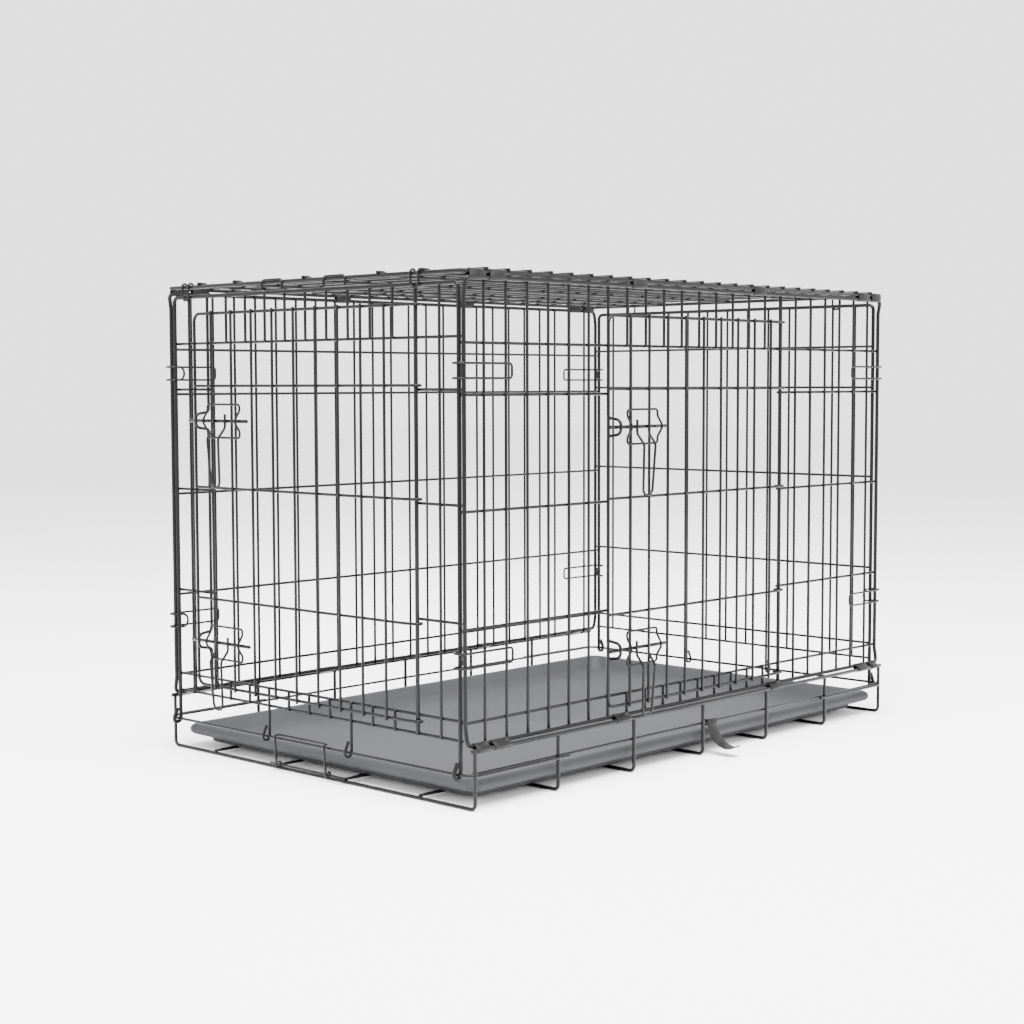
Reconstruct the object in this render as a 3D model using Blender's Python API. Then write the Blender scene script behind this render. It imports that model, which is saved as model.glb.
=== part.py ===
"""Folding wire dog crate with two doors and a slide-out tray.

Metres, +Z up.  The long sides run along X, the short ends along Y, and the
underside of the floor wires is at z = 0.  The front (long side with a door)
faces -Y and the end with the second door faces -X.
"""
import math

import bmesh
import bpy
from mathutils import Vector

MM = 0.001

# ---- overall (millimetres) ----
HALF_L = 457.0            # corner wires of the long panels, and plane of the end panels
HALF_W = 288.0            # plane of the long panels' upright wires
GRID = 3.4                # grid wire
FRAME = 5.0               # frame wire
GAP = 0.3                 # between pieces that touch

# ---- long panels ----
FIRST_X = -423.0          # first upright after the corner
PITCH_X = 38.6
COUNT_X = 23
OPEN_L = FIRST_X + 6 * PITCH_X      # upright with the keepers
OPEN_R = FIRST_X + 16 * PITCH_X     # upright that carries the door's eyes
RAIL_D = 291.6            # both long rails stand outside the uprights
LOW_RAIL_Z = 79.0
HIGH_RAIL_Z = 642.5
HEADER_Z = 564.5
ROWS_Z = (502.0, 362.0, 219.6)
SILL_Z = 106.0

# ---- top panel ----
TOP_RAIL_Z = 649.5
TOP_CROSS_Z = 653.2
TOP_LONG_Y = (-220.0, -142.0, 0.0, 142.0, 220.0)

# ---- end panels ----
PITCH_Y = 2 * HALF_W / 14
SIDE_Y = 279.5            # side wire, clear of the long panels
END_RAIL_Z = 636.0
END_HEADER_Z = 572.0
END_ROWS_Z = (508.5, 369.5, 227.0)
END_SILLS_Z = (107.8, 84.0)
PIVOT_D = 462.6           # end wire of the base, on which the end panels fold
PIVOT_Z = 44.5
HOOK_R = 5.6              # from the pivot to the centre of the hook's wire

# ---- base ----
BASE_Y = 299.0
BASE_RAIL_Z = 74.0
RISER_X = 452.0
RISERS = 7
LOWER_RAIL_Y = 295.3
LOWER_RAIL_Z = 45.0
FLOOR_LONG_Y = (-205.0, -66.0, 66.0, 205.0)
GATE_PIVOT = (-462.0, 9.1)

# ---- doors ----
EYE_R = 5.6               # from the hinge upright's centre to the eye's wire
DOOR_FRAME_D = 6.6        # frame wire in front of the panel's plane
DOOR_WIRE_D = 10.2        # upright wires in front of the panel's plane

# ---- latches ----
ROD = 4.4
ROD_D = 14.6
KEEPER_D = 20.3
GUIDE = 3.0
HANDLE = 3.2
HANDLE_DROP = 90.0

# ---- tray ----
TRAY_X = 442.0
TRAY_SHIFT = 5.0
TRAY_Y = 283.0
TRAY_BOTTOM = 8.2
TRAY_TOP = 33.0


def front(u, d, z):
    return Vector((u, -d, z)) * MM


def back(u, d, z):
    return Vector((-u, d, z)) * MM


def left(u, d, z):
    return Vector((-d, -u, z)) * MM


def right(u, d, z):
    return Vector((d, u, z)) * MM


def world(x, y, z):
    return Vector((x, y, z)) * MM


def long_xs():
    """The upright wires along a long panel, corner to corner."""
    inner = [FIRST_X + PITCH_X * i for i in range(COUNT_X)]
    return [-HALF_L] + inner + [HALF_L]


def end_us():
    """The inner upright wires along an end panel."""
    return [-HALF_W + PITCH_Y * k for k in range(1, 14)]


# ------------------------------------------------------------------ shapes
def bar(bm, side, u, d, z):
    """A straight wire as a block: u, d and z are (low, high) in the panel's own frame."""
    a, b = side(u[0], d[0], z[0]), side(u[1], d[1], z[1])
    lo = Vector([min(p, q) for p, q in zip(a, b)])
    hi = Vector([max(p, q) for p, q in zip(a, b)])
    made = bmesh.ops.create_cube(bm, size=1.0)["verts"]
    for v in made:
        v.co = Vector([lo[i] + (v.co[i] + 0.5) * (hi[i] - lo[i]) for i in range(3)])


def around(centre, width):
    return (centre - width / 2, centre + width / 2)


def bend(bm, side, points, width, closed=False):
    """A bent wire of square section along points (u, d, z), mitred at each bend."""
    pts = [side(*p) for p in points]
    n = len(pts)
    half = width * MM / 2
    dirs = []
    for i in range(n if closed else n - 1):
        dirs.append((pts[(i + 1) % n] - pts[i]).normalized())
    first = dirs[0]
    axis = min((Vector((1, 0, 0)), Vector((0, 1, 0)), Vector((0, 0, 1))),
               key=lambda a: abs(a.dot(first)))
    up = first.cross(axis).normalized()
    rings = []
    for i in range(n):
        if closed:
            before, after = dirs[i - 1], dirs[i]
        else:
            before, after = dirs[max(i - 1, 0)], dirs[min(i, n - 2)]
        if i:
            up = dirs[i - 1].rotation_difference(after) @ up if before != after else up
        if closed and i == 0:
            up = up - after * up.dot(after)
            up.normalize()
        side_v = after.cross(up)
        plane = before + after
        plane.normalize()
        ring = []
        for a, b in ((1, 1), (-1, 1), (-1, -1), (1, -1)):
            p = pts[i] + (side_v * a + up * b) * half
            p -= after * ((p - pts[i]).dot(plane) / after.dot(plane))
            ring.append(bm.verts.new(p))
        rings.append(ring)
    if closed:
        # the frame comes back turned by a whole number of quarter turns
        last = dirs[-1]
        back_up = last.rotation_difference(dirs[0]) @ up
        start_up = (rings[0][0].co + rings[0][1].co) / 2 - pts[0]
        start_up -= dirs[0] * start_up.dot(dirs[0])
        start_up.normalize()
        turn = math.atan2(dirs[0].dot(back_up.cross(start_up)), back_up.dot(start_up))
        shift = round(turn / (math.pi / 2)) % 4
    for i in range(n if closed else n - 1):
        a, b = rings[i], rings[(i + 1) % n]
        off = shift if closed and i == n - 1 else 0
        for k in range(4):
            b0, b1 = b[(k - off) % 4], b[(k + 1 - off) % 4]
            bm.faces.new((a[k], a[(k + 1) % 4], b1, b0))
    if not closed:
        bm.faces.new(list(reversed(rings[0])))
        bm.faces.new(rings[-1])


def strap(bm, outline, lo, hi, place):
    """A closed outline in a plane, carried straight from lo to hi along the third axis."""
    a = [bm.verts.new(place(p, lo)) for p in outline]
    b = [bm.verts.new(place(p, hi)) for p in outline]
    n = len(outline)
    for i in range(n):
        bm.faces.new((a[i], a[(i + 1) % n], b[(i + 1) % n], b[i]))
    bm.faces.new(list(reversed(a)))
    bm.faces.new(b)


def thicken(points, thickness):
    """The outline of a sheet of this thickness that follows an open line of 2-D points."""
    out, back_side = [], []
    n = len(points)
    for i, p in enumerate(points):
        dirs = []
        if i:
            dirs.append((Vector(p) - Vector(points[i - 1])).normalized())
        if i < n - 1:
            dirs.append((Vector(points[i + 1]) - Vector(p)).normalized())
        mean = sum(dirs, Vector((0, 0)))
        mean.normalize()
        normal = Vector((-mean.y, mean.x))
        reach = thickness / 2 / max(abs(mean.dot(dirs[0])), 0.3)
        out.append(Vector(p) + normal * reach)
        back_side.append(Vector(p) - normal * reach)
    return out + back_side[::-1]


# ---------------------------------------------------------------- building
def to_object(name, bm, material, origin=(0, 0, 0), parent=None):
    bmesh.ops.recalc_face_normals(bm, faces=bm.faces)
    where = world(*origin)
    bmesh.ops.translate(bm, verts=bm.verts, vec=-where)
    mesh = bpy.data.meshes.new(name)
    bm.to_mesh(mesh)
    bm.free()
    mesh.materials.append(material)
    obj = bpy.data.objects.new(name, mesh)
    bpy.context.scene.collection.objects.link(obj)
    obj.location = where
    if parent:
        obj.parent = parent
        obj.location = where - Vector(parent["at"])
    obj["at"] = tuple(where)
    return obj


def weld(name, groups, material, origin=(0, 0, 0), parent=None):
    """One body from groups of wires: within a group nothing touches, and the groups are united."""
    whole = None
    for k, fill in enumerate(groups):
        bm = bmesh.new()
        fill(bm)
        obj = to_object(name + "_g%d" % k, bm, material)
        if whole is None:
            whole = obj
            continue
        mod = whole.modifiers.new("weld", "BOOLEAN")
        mod.operation = "UNION"
        mod.solver = "EXACT"
        mod.object = obj
        depsgraph = bpy.context.evaluated_depsgraph_get()
        mesh = bpy.data.meshes.new_from_object(whole.evaluated_get(depsgraph))
        whole.modifiers.clear()
        whole.data = mesh
        bpy.data.objects.remove(obj)
    bm = bmesh.new()
    bm.from_mesh(whole.data)
    bpy.data.objects.remove(whole)
    return to_object(name, bm, material, origin, parent)


def paint(name, colour, roughness, metallic):
    mat = bpy.data.materials.new(name)
    mat.use_nodes = True
    shader = mat.node_tree.nodes["Principled BSDF"]
    shader.inputs["Base Color"].default_value = (*colour, 1)
    shader.inputs["Roughness"].default_value = roughness
    shader.inputs["Metallic"].default_value = metallic
    mat.diffuse_color = (*colour, 1)
    return mat


# ------------------------------------------------------------- long panels
def keeper_upright(bm, side, u, depth, levels, z_low, z_high):
    """A door-opening upright that bows outwards at each latch."""
    pts = [(u, depth, z_low)]
    for z in sorted(levels):
        pts += [(u, depth, z - 17), (u, depth + KEEPER_D, z - 9),
                (u, depth + KEEPER_D, z + 9), (u, depth, z + 17)]
    pts.append((u, depth, z_high))
    bend(bm, side, pts, FRAME)


def long_panel(name, side, material, levels=None):
    door = levels is not None
    thin_d = (HALF_W - 5.4, HALF_W - 2.0)
    thick_d = (HALF_W - 5.5, HALF_W - 0.5)

    def uprights(bm):
        for k, x in enumerate(long_xs()):
            u = -x if side is back else x
            corner = k in (0, COUNT_X + 1)
            if door and abs(u - OPEN_L) < 1:
                keeper_upright(bm, side, u, HALF_W, levels, 77.5, 644.0)
            elif door and OPEN_L < u < OPEN_R - 1:
                bar(bm, side, around(u, GRID), around(HALF_W, GRID), (HEADER_Z - 1.0, 644.0))
                bar(bm, side, around(u, GRID), around(HALF_W, GRID), (77.5, SILL_Z + 1.0))
            else:
                width = FRAME if corner or (door and abs(u - OPEN_R) < 1) else GRID
                bar(bm, side, around(u, width), around(HALF_W, width), (77.5, 644.0))

    def rows(bm):
        for z in (HEADER_Z, SILL_Z):
            bar(bm, side, (-456.5, 456.5), thick_d if door else thin_d, around(z, GRID))
        for z in ROWS_Z:
            if door:
                bar(bm, side, (-456.5, OPEN_L + 1), thin_d, around(z, GRID))
                bar(bm, side, (OPEN_R - 1, 456.5), thin_d, around(z, GRID))
            else:
                bar(bm, side, (-456.5, 456.5), thin_d, around(z, GRID))

    def rails(bm):
        for z in (LOW_RAIL_Z, HIGH_RAIL_Z):
            bar(bm, side, (-458.5, 458.5), around(RAIL_D, FRAME), around(z, FRAME))

    return weld(name, (uprights, rows, rails), material)


def top_panel(material):
    def cross(bm):
        for k, x in enumerate(long_xs()):
            width = FRAME if k in (0, COUNT_X + 1) else GRID
            bar(bm, world, around(x, width), (-294.7, 294.7), around(TOP_CROSS_Z, width))

    def along(bm):
        for s in (-1, 1):
            bar(bm, world, (-458.5, 458.5), around(s * RAIL_D, FRAME), around(TOP_RAIL_Z, FRAME))
        for y in TOP_LONG_Y:
            bar(bm, world, (-456.0, 456.0), around(y, GRID), around(TOP_RAIL_Z, GRID))

    def staples(bm):
        # two inverted U wires stand over the edge above the door end
        for k in (5, 8):
            y0 = HALF_W - PITCH_Y * k
            y1 = y0 - PITCH_Y
            pts = [(-460.6, y0, 640.2), (-460.6, y0, 651.0), (-460.6, y0 - 4, 655.0),
                   (-460.6, y1 + 4, 655.0), (-460.6, y1, 651.0), (-460.6, y1, 640.2)]
            bend(bm, world, pts, 3.0)

    return weld("top_panel", (cross, along, staples), material)


# -------------------------------------------------------------- end panels
def end_panel(name, side, material, levels=None):
    door = levels is not None
    open_u = -HALF_W + 2 * PITCH_Y
    hooks = (-2 * PITCH_Y, 2 * PITCH_Y)
    thin_d = (HALF_L - 5.4, HALF_L - 2.0)
    thick_d = (HALF_L - 5.5, HALF_L - 0.5)

    def hooked(bm, u, width, z_high):
        """A wire that runs down inside the base's end wire and curls under and up outside it."""
        pts = [(u, HALF_L, z_high), (u, HALF_L, PIVOT_Z - HOOK_R),
               (u, PIVOT_D + HOOK_R, PIVOT_Z - HOOK_R), (u, PIVOT_D + HOOK_R, PIVOT_Z + 3.5)]
        bend(bm, side, pts, width)

    def uprights(bm):
        for s in (-1, 1):
            hooked(bm, s * SIDE_Y, FRAME, END_RAIL_Z)
        for u in end_us():
            with_hook = min(abs(u - h) for h in hooks) < 1
            if door and abs(u - open_u) < 1:
                keeper_upright(bm, side, u, HALF_L, levels, 83.0, END_RAIL_Z)
            elif door and abs(u) < abs(open_u) - 1:
                bar(bm, side, around(u, GRID), around(HALF_L, GRID),
                    (END_HEADER_Z - 1.0, END_RAIL_Z))
                if with_hook:
                    hooked(bm, u, GRID, END_SILLS_Z[0] + 1.0)
                else:
                    bar(bm, side, around(u, GRID), around(HALF_L, GRID),
                        (83.0, END_SILLS_Z[0] + 1.0))
            elif with_hook:
                hooked(bm, u, GRID, END_RAIL_Z)
            else:
                width = FRAME if door and abs(u + open_u) < 1 else GRID
                bar(bm, side, around(u, width), around(HALF_L, width), (83.0, END_RAIL_Z))

    def rows(bm):
        for z in (END_HEADER_Z,) + END_SILLS_Z:
            bar(bm, side, (-SIDE_Y, SIDE_Y), thick_d, around(z, GRID))
        for z in END_ROWS_Z:
            if door:
                bar(bm, side, (-SIDE_Y, open_u + 1), thin_d, around(z, GRID))
                bar(bm, side, (-open_u - 1, SIDE_Y), thin_d, around(z, GRID))
            else:
                bar(bm, side, (-SIDE_Y, SIDE_Y), thin_d, around(z, GRID))
        bar(bm, side, (-281.0, 281.0), around(HALF_L, FRAME + 0.4), around(END_RAIL_Z, FRAME))

    origin = [c / MM for c in side(0, PIVOT_D, PIVOT_Z)]
    return weld(name, (uprights, rows), material, origin)


# ------------------------------------------------------------------- doors
def door(name, side, material, depth, free, hinge, first, pitch, z_low, z_high, rows_z, parent):
    def frame(bm):
        d = depth + DOOR_FRAME_D
        bend(bm, side, [(hinge - 13, d, z_high), (free + 12, d, z_high), (free, d, z_high - 12),
                        (free, d, z_low + 12), (free + 12, d, z_low), (hinge - 13, d, z_low)],
             FRAME)

    def rows(bm):
        for z in (z_low, z_high) + rows_z:
            start = hinge - 22 if z in (z_low, z_high) else free
            bend(bm, side, [(start, depth + EYE_R, z), (hinge + EYE_R, depth + EYE_R, z),
                            (hinge + EYE_R, depth - EYE_R, z), (hinge - 2, depth - EYE_R, z)],
                 GRID)

    def uprights(bm):
        for i in range(9):
            bar(bm, side, around(first + pitch * i, GRID), around(depth + DOOR_WIRE_D, GRID),
                (z_low - 3.5, z_high + 3.5))

    origin = [c / MM for c in side(hinge, depth, z_low)]
    return weld(name, (frame, rows, uprights), material, origin, parent)


def latch(name, side, wire, rod_mat, depth, keeper, g0, g1, leg, z, door_obj):
    """Guide loop, sliding rod and hanging handle of one latch."""
    base = depth + DOOR_WIRE_D + GRID / 2 + GAP + GUIDE / 2
    apex = depth + ROD_D + ROD / 2 + 0.9 + GUIDE / 2
    rows = [(base, 22), (base, 17), (apex, 6), (apex, -6), (base, -17), (base, -22)]
    bm = bmesh.new()
    bend(bm, side, [(g0, d, z + h) for d, h in rows] + [(g1, d, z + h) for d, h in rows[::-1]],
         GUIDE, closed=True)
    at = [c / MM for c in side(g0, base, z)]
    to_object(name + "_guide", bm, wire, at, door_obj)

    bm = bmesh.new()
    tip = keeper + FRAME / 2 + 0.6
    bar(bm, side, (tip, g1 + 17.0), around(depth + ROD_D, ROD), around(z, ROD))
    at = [c / MM for c in side((tip + g1 + 17.0) / 2, depth + ROD_D, z)]
    rod = to_object(name + "_rod", bm, rod_mat, at, door_obj)

    bm = bmesh.new()
    near = depth + ROD_D + 5.1
    far = near + 11.0
    hl, hr = g0 + leg, g0 + leg + 24.5
    pts = [(hl, near, z + 9.5), (hl, near, z - 10), (hl, far, z - 22), (hl, far, z - 80),
           (hl + 7, far, z - HANDLE_DROP + 1.6)]
    pts += [(hr - 7, far, z - HANDLE_DROP + 1.6), (hr, far, z - 80), (hr, far, z - 22),
            (hr, near, z - 10), (hr, near, z + 9.5)]
    bend(bm, side, pts, HANDLE)
    at = [c / MM for c in side((hl + hr) / 2, depth + ROD_D, z)]
    to_object(name + "_handle", bm, rod_mat, at, rod)


# -------------------------------------------------------------------- base
def base_panel(material):
    xs = [-RISER_X + 2 * RISER_X / (RISERS - 1) * k for k in range(RISERS)]

    def cross(bm):
        for k, x in enumerate(xs):
            width = FRAME if k % 3 == 0 else 4.2
            z = width / 2
            bend(bm, world, [(x, -BASE_Y, BASE_RAIL_Z), (x, -BASE_Y, z), (x, BASE_Y, z),
                             (x, BASE_Y, BASE_RAIL_Z)], width)

    def along(bm):
        for y in FLOOR_LONG_Y:
            x0 = -464.0 if abs(y) < 100 else -453.5
            bar(bm, world, (x0, 453.5), around(y, GRID), around(6.2, GRID))
        for s in (-1, 1):
            bar(bm, world, (-457.5, 457.5), around(s * BASE_Y, FRAME), around(BASE_RAIL_Z, FRAME))
            bar(bm, world, (-453.5, 453.5), around(s * LOWER_RAIL_Y, GRID),
                around(LOWER_RAIL_Z, GRID))

    def ends(bm):
        out = BASE_Y + FRAME / 2 + 1.5
        for s in (-1, 1):
            pts = [(s * 285, -out, PIVOT_Z), (s * 444, -out, PIVOT_Z),
                   (s * PIVOT_D, -out + 18.6, PIVOT_Z), (s * PIVOT_D, out - 18.6, PIVOT_Z),
                   (s * 444, out, PIVOT_Z), (s * 285, out, PIVOT_Z)]
            bend(bm, world, pts, 4.0)
        # short wire on which the tray gate turns
        bar(bm, world, around(GATE_PIVOT[0], GRID), (-75.0, 75.0), around(GATE_PIVOT[1], GRID))

    return weld("base_panel", (cross, along, ends), material)


def tray_gate(material):
    """Wire bail: it turns on the floor and its top bar lies over the base's end wire."""
    px, pz = GATE_PIVOT
    leg = -468.0
    pts = []
    for y, order in ((57.0, 1), (-42.0, -1)):
        run = [(px + 4.1, y, pz + 4.1), (px + 4.1, y, pz - 4.6), (leg, y, pz - 4.6),
               (leg, y, 49.7), (-PIVOT_D, y, 49.7)]
        pts += run[::order]
    bm = bmesh.new()
    bend(bm, world, pts, 2.8)
    return to_object("tray_gate", bm, material, (px, 7.5, pz))


def tray_clip(material):
    """Springy strap wrapped over the front lower rail, with its lip turned outwards."""
    y, z = -LOWER_RAIL_Y, LOWER_RAIL_Z
    line = [(y + 3.3, z - 6), (y + 3.3, z + 3.3), (y - 3.3, z + 3.3), (y - 3.3, z - 5),
            (y - 7, z - 17), (y - 18, z - 28), (y - 33, z - 34), (y - 41, z - 33), (y - 44, z - 30)]
    bm = bmesh.new()
    strap(bm, thicken(line, 1.2), 14.0, 33.0, lambda p, x: world(x, p[0], p[1]))
    return to_object("tray_clip", bm, material, (23.5, y, z))


def rounded_loop(bm, half_x, half_y, radius, z, steps=4):
    ring = []
    for q, (sx, sy) in enumerate(((1, 1), (-1, 1), (-1, -1), (1, -1))):
        for i in range(steps + 1):
            a = math.pi / 2 * (q + i / steps)
            ring.append(bm.verts.new(world(TRAY_SHIFT + sx * (half_x - radius) + radius * math.cos(a),
                                           sy * (half_y - radius) + radius * math.sin(a), z)))
    return ring


def tray(material):
    """Shallow moulded pan with sloping walls and a thick rim that overhangs them."""
    wall = 2.5
    profile = [(-22, 18, TRAY_BOTTOM), (-19, 20, TRAY_BOTTOM + 6), (-4, 27, TRAY_TOP - 14),
               (4, 31, TRAY_TOP - 11), (5, 32, TRAY_TOP - 4), (3, 31, TRAY_TOP - 0.5),
               (-1, 28, TRAY_TOP), (-6, 25, TRAY_TOP), (-10, 22, TRAY_TOP - 3),
               (-22, 17, TRAY_BOTTOM + 5.5), (-27, 14, TRAY_BOTTOM + wall)]
    outer = [(TRAY_X + out, TRAY_Y + out, radius, z) for out, radius, z in profile]
    bm = bmesh.new()
    loops = [rounded_loop(bm, *row) for row in outer]
    for a, b in zip(loops, loops[1:]):
        n = len(a)
        for i in range(n):
            bm.faces.new((a[i], a[(i + 1) % n], b[(i + 1) % n], b[i]))
    bm.faces.new(list(reversed(loops[0])))
    bm.faces.new(loops[-1])
    obj = to_object("tray", bm, material, (0, 0, TRAY_BOTTOM))
    obj.data.shade_smooth()
    obj.data.set_sharp_from_angle(angle=math.radians(40))
    return obj


# ------------------------------------------------------------- small parts
def corner_ring(name, sx, sy, z, material):
    """Closed loop folded round an end panel's side wire, long leg outside, short leg inside."""
    out, inside = sy * 292.3, sy * 274.5
    run = [(sx * 378, out), (sx * 466, out), (sx * 466, inside), (sx * 446, inside)]
    pts = [(x, y, z + 9) for x, y in run] + [(x, y, z - 9) for x, y in run[::-1]]
    bm = bmesh.new()
    bend(bm, world, pts, 3.0, closed=True)
    to_object(name, bm, material, (sx * 466, out, z))


def rail_clip(name, x, length, sy, y, z, turn, reach, material):
    """Sheet sleeve crimped round two rails, open along a seam on the side away from the rails."""
    t = 1.0
    half = FRAME / 2 * (abs(math.cos(turn)) + abs(math.sin(turn))) + GAP
    a, b = reach + half, half
    seam = 1.5
    inner = [(seam, b), (a, b), (a, -b), (-a, -b), (-a, b), (-seam, b)]
    outer = [(-seam, b + t), (-a - t, b + t), (-a - t, -b - t), (a + t, -b - t), (a + t, b + t),
             (seam, b + t)]
    c, s = math.cos(turn), math.sin(turn)

    def place(p, xx):
        return world(xx, sy * (y + p[0] * c + p[1] * s), z - p[0] * s + p[1] * c)

    bm = bmesh.new()
    strap(bm, inner + outer, x - length / 2, x + length / 2, place)
    to_object(name, bm, material, (x, sy * y, z))


def top_loop(name, sx, y, material):
    """Wire hairpin hung over the top panel's end wire, outside the end panel's top rail."""
    outside, over = 461.3, 658.0
    pts = [(sx * 453.0, y, 647.0), (sx * 453.0, y, over), (sx * outside, y, over),
           (sx * outside, y, 634.0), (sx * outside, y + 14, 634.0), (sx * outside, y + 14, over),
           (sx * 453.0, y + 14, over), (sx * 453.0, y + 14, 647.0)]
    bm = bmesh.new()
    bend(bm, world, pts, 3.0)
    to_object(name, bm, material, (sx * 457, y + 7, over))


def main():
    for obj in list(bpy.data.objects):
        bpy.data.objects.remove(obj)
    wire = paint("black_wire", (0.016, 0.016, 0.017), 0.32, 0.35)
    frame = paint("black_frame", (0.018, 0.018, 0.019), 0.30, 0.35)
    sheet = paint("black_sheet", (0.020, 0.020, 0.021), 0.26, 0.45)
    plastic = paint("grey_plastic", (0.060, 0.062, 0.066), 0.55, 0.0)

    base_panel(frame)
    tray(plastic)
    tray_gate(wire)
    tray_clip(sheet)
    front_levels, left_levels = (459.0, 168.0), (466.0, 163.0)
    long_panel("front_panel", front, wire, front_levels)
    long_panel("back_panel", back, wire)
    top_panel(wire)
    left_end = end_panel("left_end_panel", left, wire, left_levels)
    end_panel("right_end_panel", right, wire)

    front_door = door("front_door", front, wire, HALF_W, OPEN_L - 7.6, OPEN_R, -158.6, 39.4,
                      93.5, 603.0, (508.2, 366.2, 214.5), None)
    open_u = -HALF_W + 2 * PITCH_Y
    left_door = door("left_door", left, wire, HALF_L, open_u - 20.3, -open_u, -185.0, 43.1,
                     100.0, 612.0, (513.5, 374.5, 221.0), left_end)
    for z, level in zip(front_levels, ("upper", "lower")):
        latch("front_%s" % level, front, wire, frame, HALF_W, OPEN_L, -168.6, -106.2, 14.0, z,
              front_door)
    for z, level in zip(left_levels, ("upper", "lower")):
        latch("left_%s" % level, left, wire, frame, HALF_L, open_u, -190.0, -120.9, 19.5, z,
              left_door)

    for sx, across in ((-1, "left"), (1, "right")):
        for sy, depth in ((-1, "front"), (1, "back")):
            for z, level in ((531.0, "upper"), (183.0, "lower")):
                corner_ring("ring_%s_%s_%s" % (depth, across, level), sx, sy, z, wire)
        for k, y in enumerate((-216.0, 241.0) if sx < 0 else (-216.0, 202.0)):
            top_loop("top_loop_%s_%d" % (across, k + 1), sx, y, wire)

    high = ((-440.0, 27), (-403.7, 29), (-133.5, 29), (136.7, 29), (406.9, 29), (441.6, 25))
    low = ((-437.1, 22), (-403.7, 29), (-172.1, 29), (175.3, 29), (406.9, 29), (438.6, 18))
    rise, run = BASE_RAIL_Z - LOW_RAIL_Z, BASE_Y - RAIL_D
    for sy, depth in ((-1, "front"), (1, "back")):
        for k, (x, length) in enumerate(high):
            rail_clip("clip_%s_high_%d" % (depth, k + 1), x, length, sy, RAIL_D,
                      (HIGH_RAIL_Z + TOP_RAIL_Z) / 2, math.pi / 2,
                      (TOP_RAIL_Z - HIGH_RAIL_Z) / 2, sheet)
        for k, (x, length) in enumerate(low):
            rail_clip("clip_%s_low_%d" % (depth, k + 1), x, length, sy,
                      (RAIL_D + BASE_Y) / 2, (LOW_RAIL_Z + BASE_RAIL_Z) / 2,
                      math.atan2(-rise, run), math.hypot(rise, run) / 2, sheet)


main()
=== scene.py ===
"""Looks of the folding wire dog crate: round wire panels, doors, slide-bolt latches, tray and studio."""

import math

import bpy
from mathutils import Matrix, Vector


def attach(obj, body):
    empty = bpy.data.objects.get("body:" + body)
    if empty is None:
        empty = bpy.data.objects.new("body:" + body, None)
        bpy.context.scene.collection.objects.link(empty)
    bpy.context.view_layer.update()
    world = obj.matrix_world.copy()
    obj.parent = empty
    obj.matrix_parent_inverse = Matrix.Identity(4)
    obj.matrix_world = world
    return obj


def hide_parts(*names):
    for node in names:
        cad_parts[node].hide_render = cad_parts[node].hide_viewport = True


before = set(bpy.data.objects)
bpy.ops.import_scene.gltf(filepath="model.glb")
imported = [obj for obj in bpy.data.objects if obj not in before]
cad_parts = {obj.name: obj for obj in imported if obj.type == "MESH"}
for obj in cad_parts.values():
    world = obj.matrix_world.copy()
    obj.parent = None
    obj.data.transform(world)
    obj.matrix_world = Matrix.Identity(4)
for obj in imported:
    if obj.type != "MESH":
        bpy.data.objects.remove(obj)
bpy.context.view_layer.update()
bpy.ops.object.select_all(action='DESELECT')

MM = 0.001

# ---- the crate's own dimensions, in millimetres, as the frame has them ----
HALF_L, HALF_W = 457.0, 288.0
GRID_R, FRAME_R, SMALL_R = 1.95, 2.78, 1.55
FIRST_X, PITCH_X, COUNT_X = -423.0, 38.6, 23
OPEN_L, OPEN_R = FIRST_X + 6 * PITCH_X, FIRST_X + 16 * PITCH_X
RAIL_D, LOW_RAIL_Z, HIGH_RAIL_Z = 291.6, 79.0, 642.5
HEADER_Z, ROWS_Z, SILL_Z = 564.5, (502.0, 362.0, 219.6), 106.0
TOP_RAIL_Z, TOP_CROSS_Z = 649.5, 653.2
TOP_LONG_Y = (-220.0, -142.0, 0.0, 142.0, 220.0)
PITCH_Y, SIDE_Y = 2 * HALF_W / 14, 279.5
END_OPEN = -HALF_W + 2 * PITCH_Y
END_RAIL_Z, END_HEADER_Z = 636.0, 572.0
END_ROWS_Z, END_SILLS_Z = (508.5, 369.5, 227.0), (107.8, 84.0)
PIVOT_D, PIVOT_Z, HOOK_R = 462.6, 44.5, 5.4
BASE_Y, BASE_RAIL_Z, RISER_X = 299.0, 74.0, 452.0
LOWER_RAIL_Y, LOWER_RAIL_Z = 295.3, 45.0
FLOOR_LONG_Y = (-205.0, -66.0, 66.0, 205.0)
GATE_X, GATE_Z = -462.0, 9.1
CROSS = 3.2                # between the centres of two grid wires welded where they cross
TOP_REACH, TOP_SPLIT, TOP_END_X = 295.5, 380.0, 458.0
TOP_END_RISE = (653.4, 438.0, 450.0)      # height at the ends, and where the long wires rise to it
STAPLE_X, STAPLE_Z, STAPLE_R = 460.9, (639.5, 652.4), 1.8
PANEL_REACH = 458.0
WELD = 1.5                 # how far a wire runs past the wire it is welded to
EASE = 22.0                # height over which a frame wire steps outwards
EASE_BEND, CORNER_BEND, HOOK_BEND, TIP_BEND = 9, 7.5, 5.2, 4

# doors, outwards from their panel
DOOR_FRAME_D, DOOR_ROW_D, DOOR_WIRE_D = 6.9, 7.4, 10.3
DOOR_R, DOOR_EYE_R, DOOR_BEND, DOOR_WIRES = 2.2, 2.0, 11, 9

# latches, outwards from their panel
ROD_D, ROD_R, ROD_TAIL = 14.6, 2.4, 17.0
KEEPER_D, KEEPER_R, KEEPER_FOOT, KEEPER_BOW = 21.6, 2.1, 12, 9
GUIDE_D, GUIDE_APEX, GUIDE_R = 13.6, 21.2, 1.6
HAIRPIN_R, HAIRPIN_WIDE, HAIRPIN_DROP, HAIRPIN_EAR = 1.75, 24.5, 89.5, 9.5
HAIRPIN_NEAR, HAIRPIN_FAR, HAIRPIN_LOW = 4.1, 15.6, 12.0

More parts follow.
